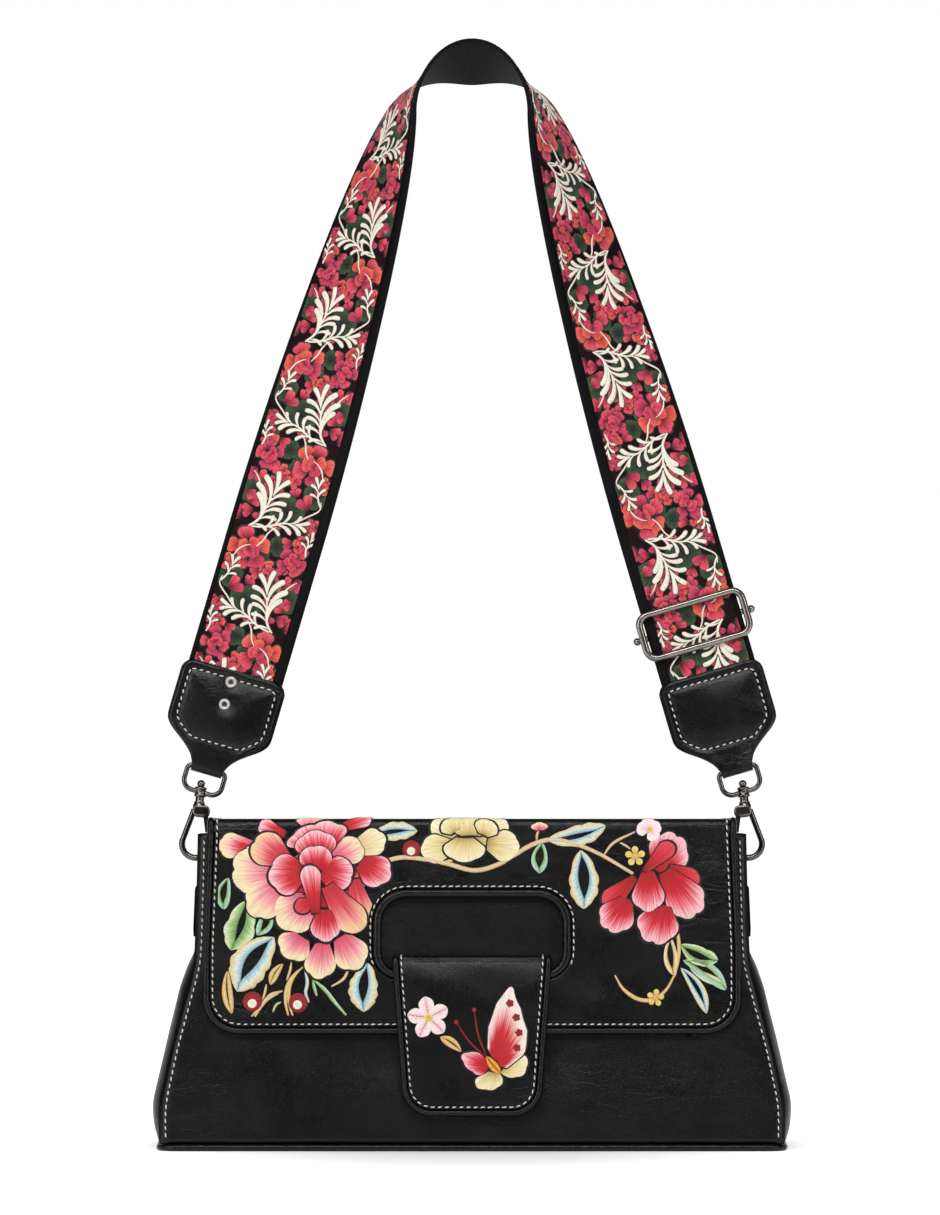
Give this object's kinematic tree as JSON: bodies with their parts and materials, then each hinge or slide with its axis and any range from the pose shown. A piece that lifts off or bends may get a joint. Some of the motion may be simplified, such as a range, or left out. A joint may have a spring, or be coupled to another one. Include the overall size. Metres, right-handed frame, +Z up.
{
  "type": "shoulder bag",
  "caption": "Flared leather shoulder bag with a folding flap, hand opening, snap tab and a wide patterned strap on swivel hooks.",
  "frame": {"origin": "centre of the flat underside of the base", "axes": "+Z up from the base to the strap, +X to the right as the front is seen, -Y towards the front"},
  "size_m": [0.3032, 0.1256, 0.527],
  "materials": {
    "leather": "satin",
    "lining": "matte",
    "board": "matte",
    "gunmetal": "gloss",
    "bright_metal": "gloss",
    "webbing": "matte",
    "ribbon": "satin"
  },
  "bodies": {
    "bag_body": {"base_panel": "leather", "base_board": "board", "base_piping": "leather", "front_panel": "leather", "back_panel": "leather", "left_gusset": "leather", "right_gusset": "leather", "lining": "lining", "left_ring_tab": "leather", "right_ring_tab": "leather", "snap_socket": "gunmetal"},
    "left_d_ring": {"left_d_ring": "gunmetal"},
    "right_d_ring": {"right_d_ring": "gunmetal"},
    "flap_top": {"flap_cover": "leather", "cover_lining": "lining"},
    "flap_drape": {"flap_front": "leather", "flap_lining": "lining", "flap_edge": "leather", "handle_binding": "leather"},
    "tab": {"closure_tab": "leather", "tab_lining": "lining", "tab_edge": "leather", "snap_stud": "gunmetal"},
    "strap": {"strap_webbing": "webbing", "strap_ribbon": "ribbon", "left_strap_end": "leather", "right_strap_end": "leather", "end_rivets": "bright_metal"},
    "left_eye_ring": {"left_eye_ring": "gunmetal"},
    "right_eye_ring": {"right_eye_ring": "gunmetal"},
    "left_hook": {"left_swivel_hook": "gunmetal", "left_gate_pin": "bright_metal"},
    "right_hook": {"right_swivel_hook": "gunmetal", "right_gate_pin": "bright_metal"},
    "left_gate": {"left_hook_gate": "gunmetal"},
    "right_gate": {"right_hook_gate": "gunmetal"},
    "slider": {"slider_frame": "gunmetal", "slider_bar": "gunmetal"}
  },
  "joints": [
    {"name": "flap_fold_rear", "type": "hinge", "parent": "bag_body", "child": "flap_top", "pos_m": [0, 0.0172, 0.1532], "axis": [-1, 0, 0], "range_deg": [0, 75]},
    {"name": "flap_fold_front", "type": "hinge", "parent": "flap_top", "child": "flap_drape", "pos_m": [0, -0.02099, 0.15328], "axis": [-1, 0, 0], "range_deg": [0, 90]},
    {"name": "tab_fold", "type": "hinge", "parent": "flap_drape", "child": "tab", "pos_m": [0, -0.03247, 0.08882], "axis": [-1, 0, 0], "range_deg": [0, 110]},
    {"name": "strap_swing", "type": "hinge", "parent": "bag_body", "child": "strap", "pos_m": [0, 0.018, 0.13635], "axis": [-1, 0, 0], "range_deg": [0, 100]},
    {"name": "slider_slide", "type": "slide", "parent": "strap", "child": "slider", "axis": [-0.2804, 0.1003, 0.9546], "range_m": [-0.008, 0.03]},
    {"name": "left_d_ring_rock", "type": "hinge", "parent": "bag_body", "child": "left_d_ring", "pos_m": [-0.12946, 0.018, 0.1215], "axis": [0, -1, 0], "range_deg": [-1, 8]},
    {"name": "left_eye_ring_swing", "type": "hinge", "parent": "strap", "child": "left_eye_ring", "pos_m": [-0.12619, 0.02244, 0.17856], "axis": [0.9599, -0.0293, -0.2789], "range_deg": [-2, 2]},
    {"name": "left_hook_swivel", "type": "hinge", "parent": "left_eye_ring", "child": "left_hook", "pos_m": [-0.12943, 0.02128, 0.16753], "axis": [-0.0895, -0.1041, -0.9905], "range_deg": [-15, 15]},
    {"name": "left_gate_open", "type": "hinge", "parent": "left_hook", "child": "left_gate", "pos_m": [-0.1271, 0.02025, 0.15774], "axis": [0, 0.9945, -0.1045], "range_deg": [0, 20], "stiffness_Nm_per_rad": 0.002, "springref_deg": -11.46},
    {"name": "right_d_ring_rock", "type": "hinge", "parent": "bag_body", "child": "right_d_ring", "pos_m": [0.12946, 0.018, 0.1215], "axis": [0, 1, 0], "range_deg": [-1, 8]},
    {"name": "right_eye_ring_swing", "type": "hinge", "parent": "strap", "child": "right_eye_ring", "pos_m": [0.12619, 0.02244, 0.17856], "axis": [0.9599, 0.0293, 0.2789], "range_deg": [-2, 2]},
    {"name": "right_hook_swivel", "type": "hinge", "parent": "right_eye_ring", "child": "right_hook", "pos_m": [0.12943, 0.02128, 0.16753], "axis": [-0.0895, 0.1041, 0.9905], "range_deg": [-15, 15]},
    {"name": "right_gate_open", "type": "hinge", "parent": "right_hook", "child": "right_gate", "pos_m": [0.1271, 0.02025, 0.15774], "axis": [0, -0.9945, 0.1045], "range_deg": [0, 20], "stiffness_Nm_per_rad": 0.002, "springref_deg": -11.46}
  ]
}
